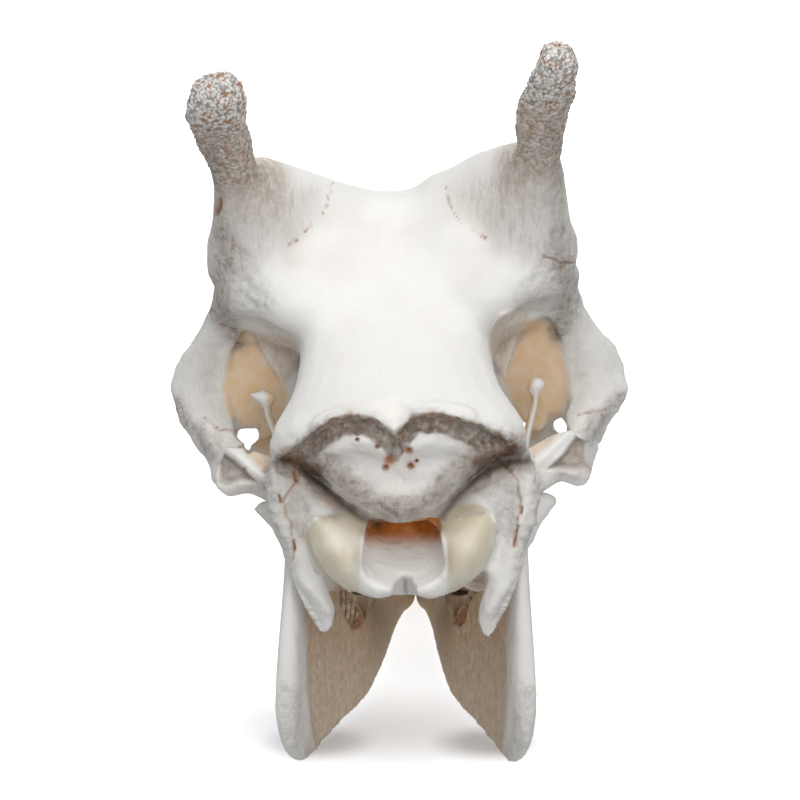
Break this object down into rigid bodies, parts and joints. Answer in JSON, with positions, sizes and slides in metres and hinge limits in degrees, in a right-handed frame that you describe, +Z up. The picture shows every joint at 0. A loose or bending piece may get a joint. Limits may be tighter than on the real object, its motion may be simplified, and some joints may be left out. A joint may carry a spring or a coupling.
{
  "type": "giraffe skull",
  "caption": "Dry, bare giraffe skull at life size, standing on its lower jaw: long snout, domed braincase and two backward-leaning ossicones.",
  "frame": {"origin": "centre of the bounding box's bottom face, at the level the jaw stands on", "axes": "+Y towards the tip of the snout, +Z up, +X towards the animal's right"},
  "size_m": [0.273, 0.6062, 0.4115],
  "materials": {
    "bone": "matt dry bone",
    "ossicone_bone": "rough, pitted bone"
  },
  "bodies": {
    "root": {"braincase": "bone", "face": "bone", "ossicone_left": "ossicone_bone", "ossicone_right": "ossicone_bone", "cheek_arch_left": "bone", "cheek_arch_right": "bone", "mandible_left": "bone", "mandible_right": "bone"}
  },
  "joints": []
}
